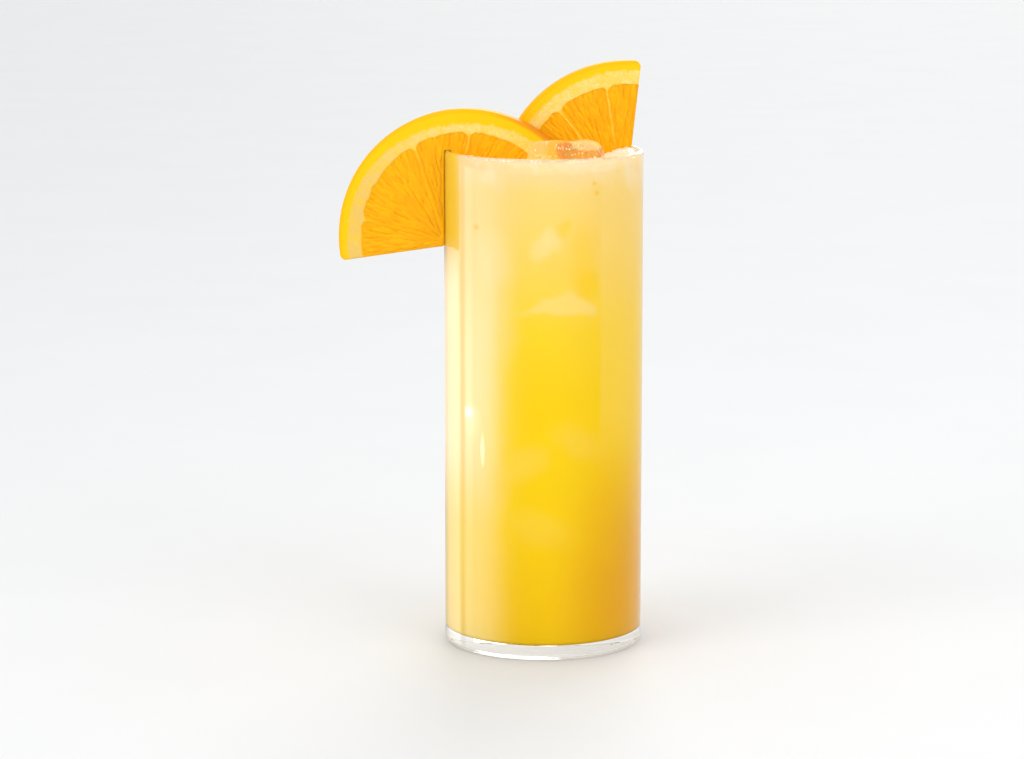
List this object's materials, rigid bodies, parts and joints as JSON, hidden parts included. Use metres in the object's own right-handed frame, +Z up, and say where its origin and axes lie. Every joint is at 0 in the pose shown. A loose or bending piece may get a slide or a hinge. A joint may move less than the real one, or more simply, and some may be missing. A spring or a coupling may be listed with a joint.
{
  "type": "glass of orange juice",
  "caption": "Tall straight-sided glass filled with iced orange juice, with a half wheel of orange hooked on its rim, another standing in the drink, and an ice cube rising out of it.",
  "frame": {"origin": "centre of the glass's underside, on its axis", "axes": "+Z up along the glass's axis; -Y towards the viewer of the picture; the slice on the rim sticks out along -X"},
  "size_m": [0.092, 0.06, 0.1772],
  "materials": {
    "glass": "clear, polished",
    "orange_juice": "cloudy liquid, wet",
    "orange_slice": "moist pulp, pith and peel",
    "ice": "clear, melting"
  },
  "bodies": {
    "root": {"glass": "glass", "orange_juice": "orange_juice", "orange_slice_left": "orange_slice", "orange_slice_right": "orange_slice", "ice_cube": "ice"}
  },
  "joints": []
}
